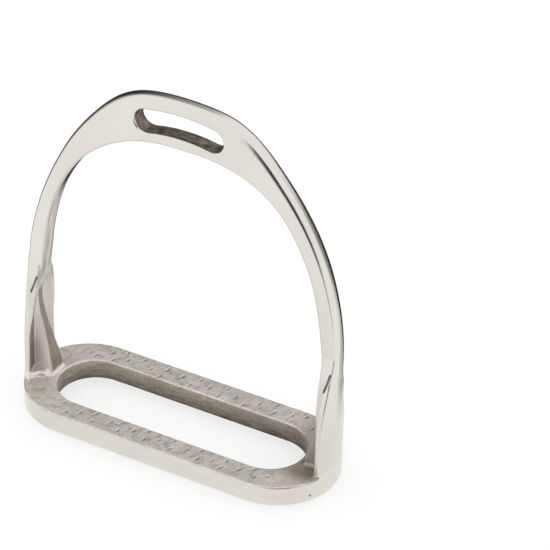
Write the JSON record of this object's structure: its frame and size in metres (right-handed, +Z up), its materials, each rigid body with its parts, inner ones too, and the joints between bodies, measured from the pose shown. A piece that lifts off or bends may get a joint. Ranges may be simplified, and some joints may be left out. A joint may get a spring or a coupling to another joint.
{
  "type": "stirrup iron",
  "caption": "Riding stirrup iron with a rounded arch bow, a wide eye for the stirrup leather, winged rib-backed feet and an open flat tread.",
  "frame": {"origin": "centre of the underside of the tread, in the plane it stands on", "axes": "+X along the length of the tread to the right-hand branch, +Y from the front to the back, +Z up to the crown of the bow"},
  "size_m": [0.12, 0.045, 0.1334],
  "materials": {
    "polished_steel": "polished, with fine buffing lines",
    "cast_steel": "dull as-cast top and window walls, polished rim",
    "bright_bead": "ground and polished fillet"
  },
  "bodies": {
    "root": {"bow": "polished_steel", "tread": "cast_steel", "left_foot_weld": "bright_bead", "right_foot_weld": "bright_bead"}
  },
  "joints": []
}
